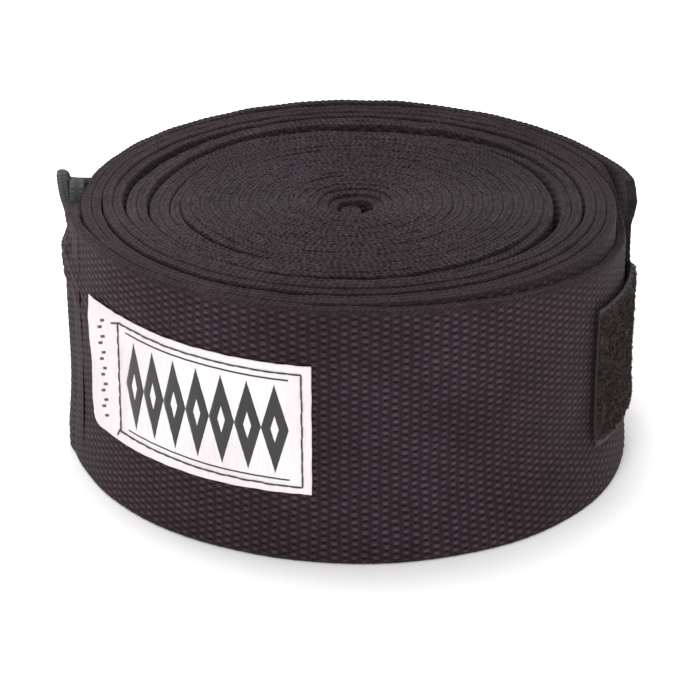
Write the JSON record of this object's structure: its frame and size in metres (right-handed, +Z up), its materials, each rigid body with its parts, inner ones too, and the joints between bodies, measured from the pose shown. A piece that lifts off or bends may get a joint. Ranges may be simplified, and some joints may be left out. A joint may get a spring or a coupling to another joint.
{
  "type": "rolled hand wrap",
  "caption": "Rolled knitted hand wrap for boxing, standing on its edge, with a woven label, a thumb loop and a hook and loop closure tab.",
  "frame": {"origin": "centre of the roll's base, on its axis", "axes": "+Z up along the roll's axis, the label on the -Y side towards -X, the closure tab towards +X"},
  "size_m": [0.1116, 0.109, 0.0545],
  "materials": {
    "knit": "matte",
    "label": "satin",
    "label_thread": "matte",
    "seam_thread": "matte",
    "loop_tape": "matte",
    "hook": "matte",
    "pile": "matte"
  },
  "bodies": {
    "roll": {"band_outer_windings": "knit", "band_front_turn": "knit", "band_back_turn": "knit", "woven_label": "label", "label_stitches": "label_thread"},
    "inner_windings": {"band_inner_windings": "knit", "band_folded_core": "knit"},
    "loop_end": {"band_loop_end": "knit", "loop_hem_stitches": "seam_thread", "thumb_loop_bar_tack": "seam_thread"},
    "thumb_loop": {"thumb_loop": "loop_tape"},
    "closure_end": {"band_closure_end": "knit", "closure_hook_tape": "hook", "closure_loop_tape": "pile", "closure_stitches": "seam_thread"}
  },
  "joints": [
    {"name": "core_telescope", "type": "slide", "parent": "roll", "child": "inner_windings", "axis": [0, 0, 1], "range_m": [0, 0.012]},
    {"name": "loop_end_peel", "type": "hinge", "parent": "roll", "child": "loop_end", "pos_m": [-0.05033, -0.0183, 0.025], "axis": [0, 0, 1], "range_deg": [0, 60]},
    {"name": "thumb_loop_swing", "type": "hinge", "parent": "loop_end", "child": "thumb_loop", "pos_m": [-0.05439, 0.00668, 0.025], "axis": [0, 0, 1], "range_deg": [0, 90]},
    {"name": "closure_peel", "type": "hinge", "parent": "roll", "child": "closure_end", "pos_m": [-0.00562, 0.05339, 0.025], "axis": [0, 0, 1], "range_deg": [0, 75]}
  ]
}
